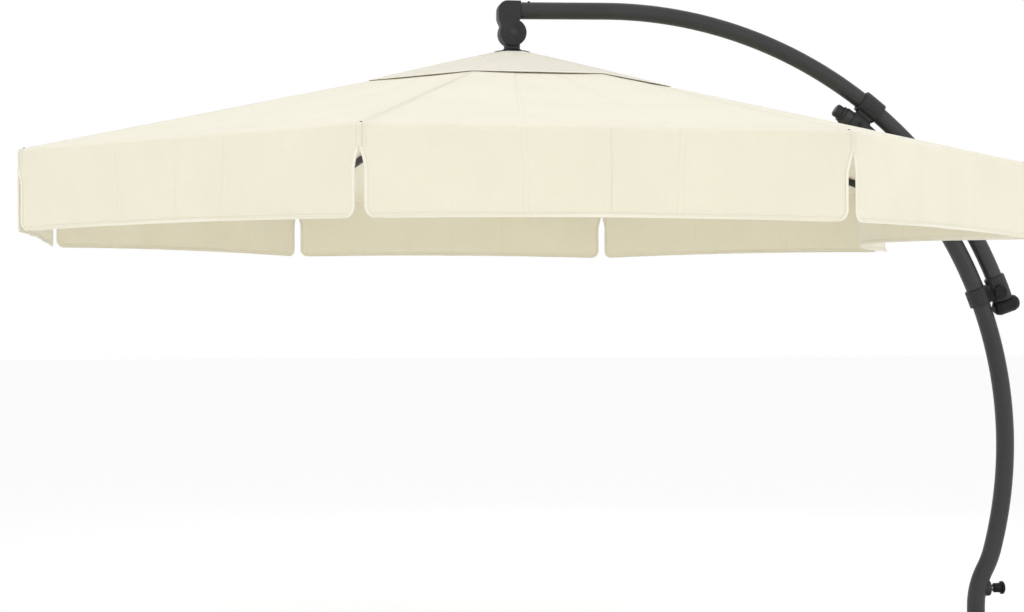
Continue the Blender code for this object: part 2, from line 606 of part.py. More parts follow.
def build_cover(mats):
    """The cloth top with its vent opening, and eight hanging flaps parted by slits at the ribs."""
    bm = bmesh.new()
    for k in range(RIBS):
        mast_side = k == RIBS - 1
        columns = 10 if mast_side else 4
        across = [-1 + 2 * i / columns for i in range(columns + 1)]
        recess = RECESS if mast_side else 0.0
        shares = (0.0, 0.25, 0.5, 0.75, 1.0)
        top = [[sector_point(k, s, a, COVER_IN_R, RIM_R, COVER_SLOPE, recess) for a in across]
               for s in shares]
        sheet_grid(bm, top)
        rim = top[-1]
        hem_z = RIM_Z - VALANCE
        squeeze = 1 - SLIT_HALF / (RIM_R * sin(pi / RIBS))
        middle = (rim[0] + rim[-1]) / 2
        hem = []
        for p in rim:
            q = Vector((middle.x + (p.x - middle.x) * squeeze, middle.y + (p.y - middle.y) * squeeze, hem_z))
            hem.append(q)
        sheet_grid(bm, [rim, hem])
    add_sheet("canopy_cover", bm, mats["cloth"])


def build_vent_cap(mats):
    """The small top cloth over the vent: flat under the plate, then sloping to its corners."""
    bm = bmesh.new()
    top_z = PLATE_Z - GAP - CLOTH
    flat_r = PLATE_R / cos(pi / RIBS)
    rings = ((0.034, top_z), (flat_r, top_z), (CAP_R, top_z - (CAP_R - flat_r) * CAP_SLOPE))
    for k in range(RIBS):
        rows = []
        for radius, z in rings:
            corners = [radians(FIRST_RIB_DEG + 360 / RIBS * step) for step in (k, k + 1)]
            rows.append([Vector((CANOPY_X + radius * cos(a), radius * sin(a), z)) for a in corners])
        sheet_grid(bm, rows)
    add_sheet("vent_cap", bm, mats["cloth"])


def main():
    clear_scene()
    mats = make_materials()
    build_foot(mats)
    build_slabs(mats)
    build_mast(mats)
    build_lock(mats)
    build_upper_bracket(mats)
    build_boom(mats)
    build_carriage(mats)
    build_elbow(mats)
    build_hub(mats)
    build_runner(mats)
    build_ribs(mats)
    build_cover(mats)
    build_vent_cap(mats)


main()
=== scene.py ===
"""Cantilever parasol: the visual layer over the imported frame."""

from math import acos, atan, cos, degrees, hypot, pi, radians, sin, sqrt, tan

import bmesh
import bpy
from mathutils import Matrix, Vector, noise


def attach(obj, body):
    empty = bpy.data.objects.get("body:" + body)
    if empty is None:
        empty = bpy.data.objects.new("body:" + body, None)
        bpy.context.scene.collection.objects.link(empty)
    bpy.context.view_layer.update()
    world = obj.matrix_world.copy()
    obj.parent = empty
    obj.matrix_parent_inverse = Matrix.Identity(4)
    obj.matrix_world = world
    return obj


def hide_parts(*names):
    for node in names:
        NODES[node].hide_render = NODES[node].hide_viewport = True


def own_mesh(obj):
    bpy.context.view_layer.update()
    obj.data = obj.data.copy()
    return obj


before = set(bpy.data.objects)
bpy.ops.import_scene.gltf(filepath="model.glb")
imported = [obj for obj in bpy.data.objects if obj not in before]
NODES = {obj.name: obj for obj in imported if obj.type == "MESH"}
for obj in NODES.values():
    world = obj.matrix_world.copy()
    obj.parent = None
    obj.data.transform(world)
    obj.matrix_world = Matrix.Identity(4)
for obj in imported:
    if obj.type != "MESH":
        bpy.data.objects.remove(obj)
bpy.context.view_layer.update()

# ---- dimensions shared with the frame, in metres ----
AXIS_X = -1.841
ARC = Vector((-1.450, 0, 1.060))
MAST_ARC, BOOM_ARC = 1.571, 1.660
MAST_R, BOOM_R = 0.0345, 0.032
MAST_LOW, MAST_TOP, MAST_BEND, FOOT_BEND, MAST_BOTTOM = -15.0, 54.7, 0.35, 0.30, 0.034
BOOM_LOW, BOOM_HIGH, BOOM_RUN = 20.6, 91.2, 0.326
KNUCKLE = Vector((AXIS_X, 0, 2.6266))
PLATE_Z, PLATE_R = 2.553, 0.0685
RIBS, FIRST_RIB = 8, radians(22.5)
HALF = pi / RIBS
RIM_R, RIM_Z = 1.875, 2.103
CAP_R, CAP_SLOPE = 0.60, 0.250
COVER_IN, COVER_SLOPE = 0.20, 0.2392
VALANCE = 0.263
RECESS = 0.32
CLOTH = 0.0014
CAP_TOP = PLATE_Z - 0.0018
CAP_FLAT = PLATE_R / cos(HALF)

# ---- cloth details ----
FOLD_R = 0.011              # rounding of the rim
SLIT_START = 0.060          # below the rim
SLIT_OPEN = 0.060           # depth over which a slit widens
SLIT_HALF = 0.017
CORNER_R = 0.034            # rounded lower corners of the flaps
SAG = 0.012                 # of the top between two ribs
SEAM = 0.008                # stitching, from a seam or an edge
STITCH, YARN = 0.0048, 0.0016
COLUMNS = 24                # across half a panel
ROW_STEP = 0.06             # down the cover
WAVE = 0.0060               # of a flap's lower edge
HEM_LIFT = 0.008            # of a flap's middle
PUFF = 0.0012               # gathers under the round plate
COVER_KEEP = 0.24           # share of a gore's width left when folded
CAP_KEEP = (0.60, 0.34)     # the same for the vent cap's inner and outer ring
CAP_SPLIT = 0.35            # radius between those rings
CAP_COLUMNS = 12
PATCH_DROP = 0.0028         # of the patch below the cap


# ---- node materials ----
class Paint:
    """A Principled material whose nodes are added one at a time."""

    def __init__(self, name, **values):
        self.material = bpy.data.materials.new(name)
        self.material.use_nodes = True
        self.tree = self.material.node_tree
        self.shader = self.tree.nodes["Principled BSDF"]
        for key, value in values.items():
            self.shader.inputs[key.replace("_", " ")].default_value = value

    def node(self, kind, inputs=None, out=0, **settings):
        made = self.tree.nodes.new("ShaderNode" + kind)
        for key, value in settings.items():
            setattr(made, key, value)
        for key, value in (inputs or {}).items():
            self.plug(made.inputs[key], value)
        return made.outputs[out]

    def plug(self, socket, value):
        if isinstance(value, bpy.types.NodeSocket):
            self.tree.links.new(value, socket)
        else:
            socket.default_value = value

    def place(self, scale=(1, 1, 1)):
        coords = self.node("TexCoord", out=3)
        return self.node("Mapping", {"Vector": coords, "Scale": scale})

    def noise(self, scale, detail=3.0, vector=None, roughness=0.55):
        where = vector if vector is not None else self.place()
        settings = {"Vector": where, "Scale": scale, "Detail": detail, "Roughness": roughness}
        return self.node("TexNoise", settings)

    def spread(self, value, low, high, start=0.3, end=0.7):
        return self.node("MapRange", {"Value": value, "From Min": start, "From Max": end,
                                      "To Min": low, "To Max": high}, clamp=True)

    def calc(self, operation, a, b=0.0, c=0.0):
        return self.node("Math", {0: a, 1: b, 2: c}, operation=operation)

    def mix(self, factor, a, b):
        return self.node("Mix", {0: factor, 6: a, 7: b}, out=2, data_type="RGBA")

    def attribute(self, name):
        return self.node("Attribute", out=2, attribute_name=name)

    def near(self, value, centre, width):
        """1 on the line where value is centre, falling to 0 at width from it."""
        away = self.calc("ABSOLUTE", self.calc("SUBTRACT", value, centre))
        return self.spread(away, 1.0, 0.0, width * 0.5, width)

    def below(self, value, limit, soft):
        return self.spread(value, 1.0, 0.0, limit - soft, limit + soft)

    def bump(self, height, distance=1.0, strength=1.0):
        made = self.node("Bump", {"Height": height, "Distance": distance, "Strength": strength})
        self.plug(self.shader.inputs["Normal"], made)

    def set(self, **values):
        for key, value in values.items():
            self.plug(self.shader.inputs[key.replace("_", " ")], value)


def tint(colour, factor):
    return (colour[0] * factor, colour[1] * factor, colour[2] * factor, 1)


def coated(name, colour, roughness, metallic, grain, peel, worn, shine):
    """Painted or moulded surface: slow colour drift, fine grain, scuffs and lighter worn edges."""
    paint = Paint(name, Metallic=metallic, Specular_IOR_Level=shine)
    drift = paint.spread(paint.noise(5.0), 0, 1)
    base = paint.mix(drift, tint(colour, 0.88), tint(colour, 1.12))
    speck = paint.spread(paint.noise(grain, 2.0), 0, 0.35, 0.45, 0.8)
    base = paint.mix(speck, base, tint(colour, 1.45))
    edge = paint.spread(paint.node("NewGeometry", out=7), 0, worn, 0.56, 0.66)
    patch = paint.calc("MULTIPLY", edge, paint.spread(paint.noise(60.0), 0.2, 1.0, 0.4, 0.6))
    base = paint.mix(patch, base, tint(colour, 3.2))
    scuff = paint.noise(24.0, 5.0, paint.place((1, 1, 5)))
    paint.set(Base_Color=base, Roughness=paint.spread(scuff, roughness - 0.07, roughness + 0.12))
    paint.bump(paint.noise(grain, 2.0), peel)
    return paint.material


def metal(name, colour, roughness, scratch):
    paint = Paint(name, Metallic=1.0)
    lines = paint.noise(90.0, 4.0, paint.place(scratch))
    stain = paint.spread(paint.noise(12.0, 4.0), 0, 1, 0.35, 0.75)
    paint.set(Base_Color=paint.mix(stain, tint(colour, 1.0), tint(colour, 0.72)),
              Roughness=paint.spread(lines, roughness - 0.06, roughness + 0.15))
    paint.bump(lines, 0.00008)
    return paint.material


def spangled(name, colour):
    """Zinc coat: crystals of slightly different brightness, with dull stains."""
    paint = Paint(name, Metallic=0.75)
    cells = paint.node("TexVoronoi", {"Vector": paint.place(), "Scale": 70.0}, out=1)
    grey = paint.node("RGBToBW", {"Color": cells})
    base = paint.mix(grey, tint(colour, 0.80), tint(colour, 1.25))
    stain = paint.spread(paint.noise(9.0, 5.0), 0, 0.6, 0.45, 0.75)
    paint.set(Base_Color=paint.mix(stain, base, tint(colour, 0.55)),
              Roughness=paint.spread(grey, 0.38, 0.58, 0.0, 1.0))
    paint.bump(paint.noise(400.0, 2.0), 0.00008)
    return paint.material


def cast_concrete(name):
    """Slab: cement grey with sand grains, pores and darker damp patches."""
    paint = Paint(name)
    cloud = paint.spread(paint.noise(7.0, 6.0), 0, 1)
    base = paint.mix(cloud, (0.30, 0.295, 0.28, 1), (0.47, 0.46, 0.44, 1))
    grain = paint.noise(420.0, 3.0)
    base = paint.mix(paint.spread(grain, 0, 0.5, 0.5, 0.75), base, (0.62, 0.60, 0.56, 1))
    cells = paint.node("TexVoronoi", {"Vector": paint.place(), "Scale": 85.0}, out=0)
    pore = paint.below(cells, 0.13, 0.05)
    few = paint.calc("MULTIPLY", pore, paint.spread(paint.noise(30.0), 0, 1, 0.52, 0.6))
    paint.set(Base_Color=paint.mix(few, base, (0.12, 0.115, 0.11, 1)),
              Roughness=paint.spread(grain, 0.82, 0.97))
    relief = paint.calc("SUBTRACT", paint.calc("MULTIPLY", grain, 0.25), few)
    paint.bump(relief, 0.0009)
    return paint.material


def woven(name, colour):
    """Polyester cloth: weave, drift of colour, seams, stitches, creases and a few slack wrinkles.

    It reads the attributes rib (distance from a seam or slit), hem (distance from the lower edge),
    panel (share across a panel) and the UV map, which is in metres."""
    paint = Paint(name, Roughness=0.86, Sheen_Weight=0.10, Sheen_Roughness=0.5, Subsurface_Weight=0.60,
                  Subsurface_Scale=0.0045)
    paint.shader.inputs["Subsurface Radius"].default_value = (1.0, 0.96, 0.88)
    uv = paint.node("UVMap", uv_map="cloth")
    split = paint.node("SeparateXYZ", {"Vector": uv}).node
    u, v = split.outputs[0], split.outputs[1]
    rib, hem, panel = paint.attribute("rib"), paint.attribute("hem"), paint.attribute("panel")
    pitch = 2 * pi / YARN
    warp = paint.calc("SINE", paint.calc("MULTIPLY", u, pitch))
    weft = paint.calc("SINE", paint.calc("MULTIPLY", v, pitch))
    weave = paint.calc("MULTIPLY", warp, weft)
    cloud = paint.noise(3.5, 5.0)
    yarn = paint.noise(260.0, 2.0, paint.node("Mapping", {"Vector": uv, "Scale": (0.08, 1, 1)}))
    drift = paint.mix(paint.spread(cloud, 0, 1), tint(colour, 0.965), tint(colour, 1.02))
    base = paint.mix(paint.spread(yarn, 0, 0.25), drift, tint(colour, 0.90))
    base = paint.mix(paint.spread(weave, 0, 0.10, -1, 1), base, tint(colour, 0.80))
    rows = paint.calc("MAXIMUM", paint.near(rib, SEAM, 0.0009), paint.near(hem, SEAM + 0.004, 0.0009))
    dash = paint.calc("SINE", paint.calc("MULTIPLY", paint.calc("ADD", u, v), 2 * pi / STITCH))
    thread = paint.calc("MULTIPLY", rows, paint.spread(dash, 0, 1, -0.6, -0.2))
    base = paint.mix(paint.calc("MULTIPLY", thread, 0.55), base, tint(colour, 0.62))
    doubled = paint.calc("MAXIMUM", paint.below(rib, SEAM + 0.003, 0.0012),
                         paint.below(hem, SEAM + 0.008, 0.0012))
    soil = paint.calc("MULTIPLY", paint.below(hem, 0.012, 0.012), paint.spread(cloud, 0, 0.16, 0.45, 0.7))
    base = paint.mix(soil, base, tint((colour[0], colour[1] * 0.97, colour[2] * 0.90), 0.72))
    paint.set(Base_Color=base, Roughness=paint.spread(yarn, 0.80, 0.93))
    crease = paint.calc("MAXIMUM", paint.near(panel, 0.325, 0.008), paint.near(panel, 0.645, 0.008))
    crumple = paint.noise(9.0, 4.0, paint.place((1, 1, 0.55)))
    height = paint.calc("MULTIPLY", weave, 0.00006)
    height = paint.calc("MULTIPLY_ADD", doubled, 0.0006, height)
    height = paint.calc("MULTIPLY_ADD", thread, -0.0003, height)
    height = paint.calc("MULTIPLY_ADD", crease, 0.0014, height)
    height = paint.calc("MULTIPLY_ADD", crumple, 0.0055, height)
    paint.bump(height)
    return paint.material


ANTHRACITE = coated("anthracite_powder_coat", (0.036, 0.037, 0.039), 0.40, 0.30, 700.0, 0.00010, 0.35, 0.45)
CASTING = coated("dark_casting_coat", (0.026, 0.027, 0.028), 0.50, 0.15, 480.0, 0.00016, 0.45, 0.32)
PLASTIC = coated("black_moulded_plastic", (0.009, 0.009, 0.010), 0.46, 0.0, 900.0, 0.00010, 0.30, 0.20)
FINGER = coated("rib_end_plastic", (0.030, 0.030, 0.032), 0.50, 0.0, 800.0, 0.00010, 0.25, 0.30)
STEEL = metal("bright_steel", (0.66, 0.66, 0.67), 0.26, (1, 1, 9))
ZINC = spangled("zinc_coated_steel", (0.34, 0.345, 0.35))
DARK_STEEL = metal("blackened_steel", (0.035, 0.035, 0.037), 0.42, (1, 1, 4))
CONCRETE = cast_concrete("cast_concrete")
TOP_CLOTH = woven("cream_cloth", (0.815, 0.770, 0.625))
BINDING = woven("cream_binding", (0.87, 0.835, 0.715))

FINISH = {"frame_coat": ANTHRACITE, "casting": CASTING, "black_plastic": PLASTIC, "bright_steel": STEEL,
          "cream_plastic": FINGER, "foot_steel": ZINC, "concrete": CONCRETE}
NODE_FINISH = {
    "frame_coat": ["foot_post", "mast_tube", "boom_tube", "hub_stem"],
    "casting": ["mast_end_cap", "lock_boss", "upper_bracket", "carriage_bracket", "elbow_cap", "hub_knuckle"],
    "black_plastic": ["pivot_bush_lower", "pivot_bush_upper", "thrust_ring", "upper_bush", "lock_knob",
                      "carriage_bush", "grip", "release_disc", "top_plate", "rib_crown", "strut_runner",
                      "runner_spigot", "runner_cap"],
    "bright_steel": ["upper_clamp_bolt", "lock_pin", "boom_screw", "knuckle_bolt"],
    "foot_steel": ["foot_cross", "post_flange"],
    "concrete": [f"ballast_slab_{k}" for k in range(1, 5)],
}
NODE_FINISH["frame_coat"] += [f"{kind}_{k}" for kind in ("rib", "strut") for k in range(1, RIBS + 1)]
NODE_FINISH["cream_plastic"] = [f"rib_tip_{k}" for k in range(1, RIBS + 1)]
SCREWS = ("upper_clamp_bolt", "boom_screw", "knuckle_bolt")
for slot_name, members in NODE_FINISH.items():
    for member in members:
        mesh = NODES[member].data
        mesh.materials.clear()
        mesh.materials.append(DARK_STEEL if member in SCREWS else FINISH[slot_name])


# ---- helpers for new pieces ----
def piece(name, bm, material, body, stands_for=(), sharp=40.0):
    bmesh.ops.recalc_face_normals(bm, faces=bm.faces[:])
    mesh = bpy.data.meshes.new(name)
    bm.to_mesh(mesh)
    bm.free()
    mesh.materials.append(material)
    obj = bpy.data.objects.new(name, mesh)
    bpy.context.scene.collection.objects.link(obj)
    for face in mesh.polygons:
        face.use_smooth = True
    mesh.set_sharp_from_angle(angle=radians(sharp))
    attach(obj, body)
    if stands_for:
        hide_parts(*stands_for)
    return obj


# ---- canopy cloth ----
def compass(azimuth):
    """Directions outwards and to the left, at an azimuth."""
    return Vector((cos(azimuth), sin(azimuth), 0)), Vector((-sin(azimuth), cos(azimuth), 0))


class Cloth:
    """One sheet over the whole canopy, kept as shared points, and cut into pieces at the end."""

    def __init__(self):
        self.points = []
        self.facts = []
        self.known = {}
        self.faces = []

    def point(self, key, place, facts):
        if key not in self.known:
            self.known[key] = len(self.points)
            self.points.append(place)
            self.facts.append(facts)
        return self.known[key]

    def face(self, corners, group):
        """Adds a face whose corners are (point, uv) pairs, to one group."""
        self.faces.append(([i for i, _ in corners], group, [uv for _, uv in corners]))

    def sector(self, table, k, group_of):
        """Faces between the rows of one sector, each half in the group of the rib it lies along."""
        half = (len(table[0]) - 1) // 2
        for r, (upper, lower) in enumerate(zip(table, table[1:])):
            for c in range(2 * half):
                corners = [upper[c], lower[c], lower[c + 1], upper[c + 1]]
                self.face(corners, group_of((k + (c >= half)) % RIBS, r))

    def normals(self):
        total = [Vector() for _ in self.points]
        for face, _, _ in self.faces:
            a, b, c, d = (self.points[i] for i in face)
            across = (c - a).cross(d - b)
            for i in face:
                total[i] += across
        return [n.normalized() for n in total]

    def normals_up(self, key):
        """Normals, with all the faces turned over if the point at key looks down."""
        normals = self.normals()
        if normals[self.known[key]].z < 0:
            normals = [-n for n in normals]
            self.faces = [(f[::-1], g, uv[::-1]) for f, g, uv in self.faces]
        return normals

    def cut(self, name, group, normals, body, keep=1.0, azimuth=0.0, stands_for=()):
        """A closed sheet of cloth thickness from one group's faces."""
        faces = [(f, uv) for f, g, uv in self.faces if g == group]
        used = sorted({i for f, _ in faces for i in f})
        index = {i: n for n, i in enumerate(used)}
        count = len(used)
        half = CLOTH / 2
        places = [self.points[i] + normals[i] * half for i in used]
        places += [self.points[i] - normals[i] * half for i in used]
        polygons, directions, maps = [], [], []
        edges = {}
        area = 0.0
        for f, uv in faces:
            top = [index[i] for i in f]
            polygons.append(top)
            directions.extend(normals[i] for i in f)
            maps.extend(uv)
            polygons.append([i + count for i in reversed(top)])
            directions.extend(-normals[i] for i in reversed(f))
            maps.extend(reversed(uv))
            a, b, c, d = (self.points[i] for i in f)
            area += (c - a).cross(d - b).length / 2
            for n in range(4):
                edges[(top[n], top[(n + 1) % 4])] = (uv[n], uv[(n + 1) % 4])
        for (a, b), (uv_a, uv_b) in edges.items():
            if (b, a) in edges:
                continue
            polygons.append([b, a, a + count, b + count])
            side = (places[a] - places[b]).cross(places[a + count] - places[b]).normalized()
            directions.extend([side] * 4)
            maps.extend([uv_b, uv_a, uv_a, uv_b])
        mesh = bpy.data.meshes.new(name)
        mesh.from_pydata(places, [], polygons)
        layer = mesh.uv_layers.new(name="cloth")
        for loop, uv in enumerate(maps):
            layer.data[loop].uv = uv
        for n, fact in enumerate(("rib", "hem", "panel")):
            values = [self.facts[i][n] for i in used] * 2
            mesh.attributes.new(fact, "FLOAT", "POINT").data.foreach_set("value", values)
        mesh.materials.append(TOP_CLOTH)
        mesh.shade_smooth()
        mesh.normals_split_custom_set(directions)
        obj = bpy.data.objects.new(name, mesh)
        bpy.context.scene.collection.objects.link(obj)
        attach(obj, body)
        if stands_for:
            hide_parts(*stands_for)
        if keep < 1:
            fold(obj)
        wide, long = spread_of(places, azimuth)
        scale = max(1.0, sqrt(area / (wide * long)) * 1.001)
        return obj, (wide * scale, long * scale), area


def spread_of(places, azimuth):
    """Width and length of a box round the points, across the rib and down the cloth."""
    out, left = compass(azimuth)
    sides = [p.dot(left) for p in places]
    depths = [p.dot(out) for p in places]
    heights = [p.z for p in places]
    return max(sides) - min(sides), hypot(max(depths) - min(depths), max(heights) - min(heights))


def fold(obj):
    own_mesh(obj)


def ribbon(name, path, body, wide, thick):
    """Binding sewn round an edge: path is (point, outward normal, direction into the cloth)."""
    bm = bmesh.new()
    rings = []
    for p, n, into in path:
        low = p - into * 0.0012
        corners = (low + n * thick / 2, low + into * wide + n * thick / 2,
                   low + into * wide - n * thick / 2, low - n * thick / 2)
        rings.append([bm.verts.new(q) for q in corners])
    for a, b in zip(rings, rings[1:]):
        for i in range(4):
            bm.faces.new((a[i], a[(i + 1) % 4], b[(i + 1) % 4], b[i]))
    bm.faces.new(rings[0][::-1])
    bm.faces.new(rings[-1])
    obj = piece(name, bm, BINDING, body, sharp=50)
    fold(obj)
    return obj


def edge_path(cloth, normals, line):
    """Points of an edge with their normals and the direction into the cloth; line is (edge, inner) keys."""
    path = []
    for keys in line:
        edge, inner = (cloth.known[key] for key in keys)
        into = (cloth.points[inner] - cloth.points[edge]).normalized()
        path.append((cloth.points[edge], normals[edge], into))
    return path


def sewn(cloth, normals, name, group, rib, keep, stands_for, bindings, wide, thick):
    """A piece of cloth on a rib; bindings are (name, line along the edge) pairs, wide and thick."""
    body = f"rib_{rib + 1}"
    azimuth = FIRST_RIB + 2 * HALF * rib
    obj, flat, area = cloth.cut(name, group, normals, body, keep, azimuth, stands_for)
    trims = [ribbon(title, edge_path(cloth, normals, line), body, wide, thick)
             for title, line in bindings]


def slit(down):
    """How far a flap's edge stands off the rib, at a depth below the rim."""
    opened = min(1.0, max(0.0, (down - SLIT_START) / SLIT_OPEN))
    off = SLIT_HALF * opened ** 0.8
    into = (down - (VALANCE - CORNER_R)) / CORNER_R
    if into > 0:
        off += CORNER_R * (1 - sqrt(max(0.0, 1 - into * into)))
    return off


def cover_rows():
    """Rows from the vent down to the hem: (kind, value)."""
    steps = round((RIM_R - COVER_IN) / ROW_STEP)
    rows = [("top", COVER_IN + (RIM_R - COVER_IN) * step / steps) for step in range(steps)]
    rows[-1] = ("top", RIM_R - 0.035)
    rows += [("round", step / 6) for step in range(7)]
    depths = [0.022, 0.035, 0.048, 0.060, 0.066, 0.074, 0.084, 0.096, 0.110, 0.121, 0.140, 0.165, 0.190,
              0.215]
    depths += [VALANCE - CORNER_R + CORNER_R * sin(pi / 2 * step / 8) for step in range(9)]
    return rows + [("flap", down) for down in depths]


def cover_point(k, row, across):
    """A point of the cover, its facts and its place on the flat cloth, for one sector between two ribs."""
    kind, value = row
    recess = RECESS if k == RIBS - 1 else 0.0
    steep = COVER_SLOPE / cos(HALF)
    first = atan(steep)
    bow = 1 - across * across
    rim = RIM_R * cos(HALF)
    hem = 1.0
    if kind == "top":
        depth = value * cos(HALF)
        share = (value - COVER_IN) / (RIM_R - COVER_IN)
        z = RIM_Z + (rim - depth) * steep
        down = value
        z -= SAG * bow * sin(pi * min(1.0, share * 1.05)) * share ** 0.5
        side = depth * tan(HALF) * across
        z += recess * share * bow * steep
        depth -= recess * share * bow
    elif kind == "round":
        turn = first + (pi / 2 - first) * value
        depth = rim - FOLD_R + FOLD_R * sin(turn)
        start = rim - FOLD_R + FOLD_R * sin(first)
        z = RIM_Z + (rim - start) * steep - FOLD_R * cos(first) + FOLD_R * cos(turn)
        down = RIM_R + FOLD_R * (turn - first)
        side = depth * tan(HALF) * across
        z += recess * bow * steep * (1 - value)
        depth -= recess * bow
    else:
        low = value / VALANCE
        reach = rim * tan(HALF) - slit(value)
        side = reach * across
        z = RIM_Z - value + HEM_LIFT * bow * low
        down = RIM_R + value
        hem = VALANCE - value
        wave = sin(2.6 * pi * across + 1.7 * k) * 0.6 + sin(5.1 * pi * across + 0.9 * k) * 0.25
        depth = rim + WAVE * wave * bow * low ** 1.4
        depth -= recess * bow
    out, left = compass(FIRST_RIB + 2 * HALF * (k + 0.5))
    place = Vector((AXIS_X, 0, z)) + out * depth + left * side
    if kind == "top":
        crumple = noise.noise(place * 4.0) * 0.0030 + noise.noise(place * 11.0) * 0.0010
        place.z += crumple * bow * min(1.0, (RIM_R - value) / 0.15)
    if kind == "flap":
        from_rib = reach * (1 - abs(across))
    else:
        from_rib = abs(side - (depth + recess * bow) * tan(HALF) * (1 if across > 0 else -1))
    return place, (from_rib, hem, (across + 1) / 2), (side + k * 2.0, down)


def cover_pieces():
    """The cover and its valance, in eight gores whose valance slits are bound."""
    cloth = Cloth()
    rows = cover_rows()
    end, last = 2 * COLUMNS, len(rows) - 1
    start = next(r for r, (kind, value) in enumerate(rows) if kind == "flap" and value >= SLIT_START)
    for k in range(RIBS):
        table = []
        for r, row in enumerate(rows):
            line = []
            for c in range(end + 1):
                place, facts, uv = cover_point(k, row, c / COLUMNS - 1)
                key = ("rib", (k + (c > 0)) % RIBS, r) if r <= start and c in (0, end) else (k, r, c)
                line.append((cloth.point(key, place, facts), uv))
            table.append(line)
        cloth.sector(table, k, lambda rib, r: rib)
    normals = cloth.normals_up((0, 1, COLUMNS))
    for rib in range(RIBS):
        bindings = []
        for letter, k, edge, step in (("a", rib, 0, 1), ("b", (rib - 1) % RIBS, end, -1)):
            line = [((k, last, c), (k, last - 3, c)) for c in range(COLUMNS, edge, -step)]
            line += [((k, r, edge), (k, r, edge + 2 * step)) for r in range(last - 1, start, -1)]
            bindings.append((f"binding_{rib + 1}{letter}", line))
        sewn(cloth, normals, f"canopy_{rib + 1}_1", rib, rib, COVER_KEEP, () if rib else ("canopy_cover",),
             bindings, 0.009, 0.0034)


def cap_height(radius):
    if radius < CAP_FLAT:
        return CAP_TOP
    share = (radius - CAP_FLAT) / (CAP_R - CAP_FLAT)
    return CAP_TOP - (radius - CAP_FLAT) * CAP_SLOPE - 0.0075 * share * share


def cap_point(k, radius, across):
    bow = 1 - across * across
    depth = radius * cos(HALF)
    side = depth * tan(HALF) * across
    share = max(0.0, (radius - CAP_FLAT) / (CAP_R - CAP_FLAT))
    z = cap_height(radius) - 0.007 * bow * sin(pi * share)
    z += PUFF * cos(across * pi * 5) * max(0.0, 1 - share * 3) * (radius > CAP_FLAT) * bow
    out, left = compass(FIRST_RIB + 2 * HALF * (k + 0.5))
    place = Vector((AXIS_X, 0, z)) + out * depth + left * side
    from_rib = depth * tan(HALF) * (1 - abs(across))
    return place, (from_rib, CAP_R - radius, 0.0), (side + k * 2.0, radius)


def cap_pieces():
    """The small cloth over the vent, gathered under the round plate, in two rings of eight."""
    cloth = Cloth()
    radii = [0.034, 0.050, CAP_FLAT - 0.006, CAP_FLAT + 0.004, 0.090, 0.12, 0.16, 0.20, 0.25, 0.30, CAP_SPLIT,
             0.40, 0.45, 0.50, 0.54, 0.57, 0.585, CAP_R]
    end, last = 2 * CAP_COLUMNS, len(radii) - 1
    for k in range(RIBS):
        table = []
        for r, radius in enumerate(radii):
            line = []
            for c in range(end + 1):
                place, facts, uv = cap_point(k, radius, c / CAP_COLUMNS - 1)
                key = ("rib", (k + (c > 0)) % RIBS, r) if c in (0, end) else (k, r, c)
                line.append((cloth.point(key, place, facts), uv))
            table.append(line)
        cloth.sector(table, k, lambda rib, r: (rib, int(radii[r] >= CAP_SPLIT)))
    normals = cloth.normals_up((0, 5, CAP_COLUMNS))
    for rib in range(RIBS):
        before = (rib - 1) % RIBS
        line = [((before, last, c), (before, last - 1, c)) for c in range(CAP_COLUMNS, end)]
        line.append((("rib", rib, last), ("rib", rib, last - 1)))
        line += [((rib, last, c), (rib, last - 1, c)) for c in range(1, CAP_COLUMNS + 1)]
        for ring, bindings in enumerate(([], [(f"cap_binding_{rib + 1}", line)])):
            stands_for = () if rib or ring else ("vent_cap",)
            sewn(cloth, normals, f"vent_cap_{rib + 1}_{ring + 1}", (rib, ring), rib, CAP_KEEP[ring],
                 stands_for, bindings, 0.010, 0.0024)


def vent_patch():
    """Reinforcing cloth under the middle of the vent cap; it also closes the top of the folded canopy."""
    cloth = Cloth()
    radii = [0.036, 0.055, 0.075, 0.10, 0.13, 0.16, 0.175]
    steps = 64
    for r, radius in enumerate(radii):
        for c in range(steps):
            turn = 2 * pi * c / steps
            flat = radius * cos(HALF) / cos((turn - FIRST_RIB) % (2 * HALF) - HALF)
            place = Vector((AXIS_X + flat * cos(turn), flat * sin(turn), cap_height(radius) - PATCH_DROP))
            cloth.point((r, c), place, (1.0, radii[-1] - radius, 0.0))
    for r in range(len(radii) - 1):
        for c in range(steps):
            after = (c + 1) % steps
            corners = [(cloth.known[(ring, column)], (radii[ring] * 2 * pi * (c + n) / steps, radii[ring]))
                       for ring, column, n in ((r, c, 0), (r + 1, c, 0), (r + 1, after, 1), (r, after, 1))]
            cloth.face(corners, 0)
    obj, _, area = cloth.cut("vent_patch", 0, cloth.normals(), "hub")


cover_pieces()
cap_pieces()
vent_patch()


# ---- hub ----
def plate_of(outline, half, bevel, segments):
    """A plate with this outline in the XZ plane, with rounded edges."""
    bm = bmesh.new()
    front = [bm.verts.new((AXIS_X + x, -half, z)) for x, z in outline]
    face = bm.faces.new(front)
    made = bmesh.ops.extrude_face_region(bm, geom=[face])["geom"]
    back = [g for g in made if isinstance(g, bmesh.types.BMVert)]
    bmesh.ops.translate(bm, vec=(0, 2 * half, 0), verts=back)
    bmesh.ops.recalc_face_normals(bm, faces=bm.faces[:])
    rim = [e for e in bm.edges
           if abs(abs(e.verts[0].co.y) - half) < 1e-6 and abs(e.verts[0].co.y - e.verts[1].co.y) < 1e-6]
    bmesh.ops.bevel(bm, geom=rim, offset=bevel, offset_type="OFFSET", segments=segments, profile=0.5,
                    affect="EDGES", material=-1, clamp_overlap=True)
    return bm


